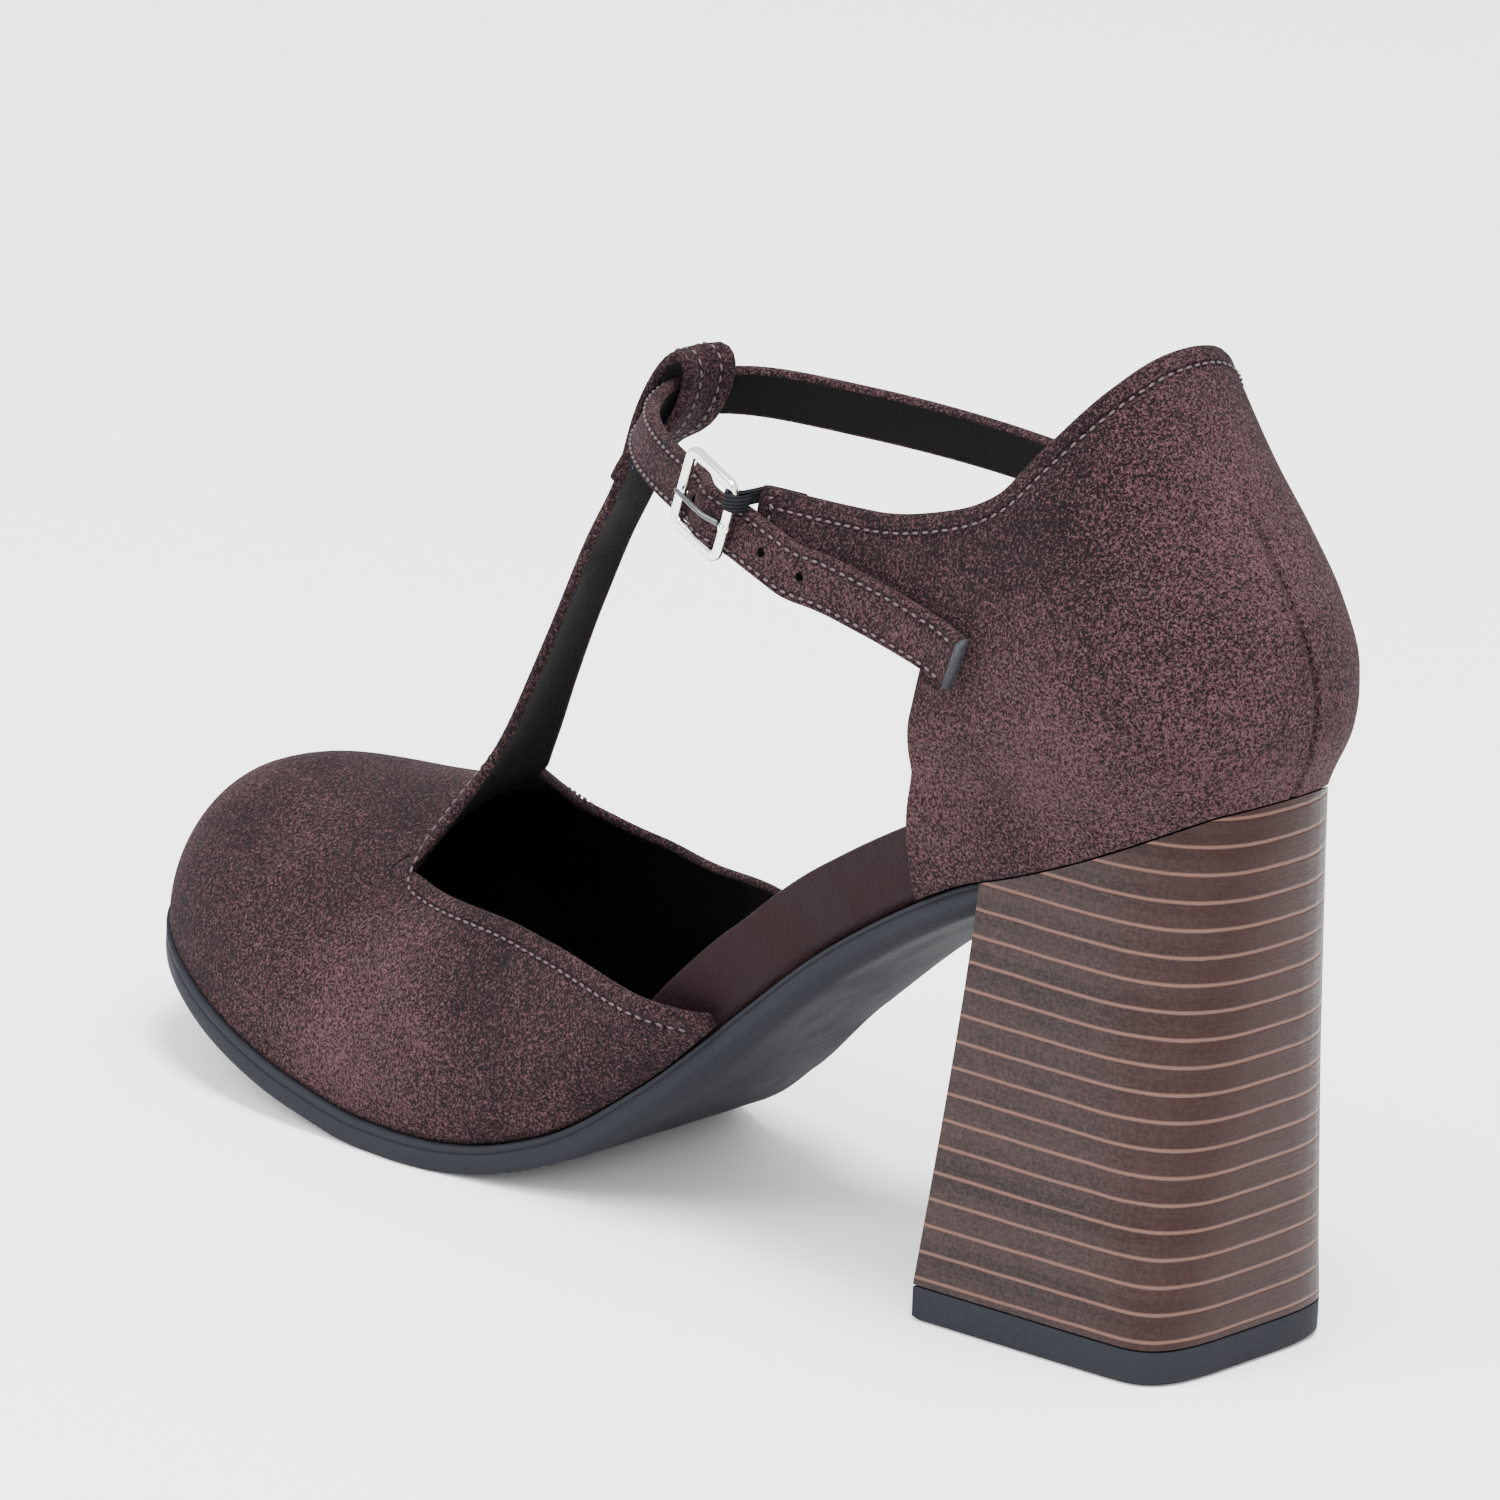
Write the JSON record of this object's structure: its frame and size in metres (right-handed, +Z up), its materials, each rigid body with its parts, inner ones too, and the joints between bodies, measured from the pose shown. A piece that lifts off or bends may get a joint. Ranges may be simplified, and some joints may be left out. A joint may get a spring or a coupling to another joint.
{
  "type": "t strap shoe",
  "caption": "Left-foot suede T-strap shoe with open sides, a peaked back, a buckled ankle strap and a tall flared block heel.",
  "frame": {"origin": "on the floor, under the middle of the heel's top piece", "axes": "+Z up, the toe points along -Y, +X is the outer side of the foot with the buckle"},
  "size_m": [0.0753, 0.2378, 0.1583],
  "materials": {
    "brown_suede": "dark plum-brown suede with a fine nap",
    "covered_rim": "smooth dark brown cover over the insole",
    "stacked_heel": "dark brown stacked look with thin orange-brown layer lines, satin",
    "black_rubber": "matt black rubber",
    "silver_metal": "polished silver-coloured metal",
    "black_elastic": "woven black elastic"
  },
  "bodies": {
    "root": {"outsole": "black_rubber", "heel": "stacked_heel", "top_piece": "black_rubber", "insole": "covered_rim", "vamp": "brown_suede", "quarter": "brown_suede", "ankle_strap": "brown_suede", "buckle_frame": "silver_metal", "buckle_prong": "silver_metal", "buckle_elastic": "black_elastic"}
  },
  "joints": []
}
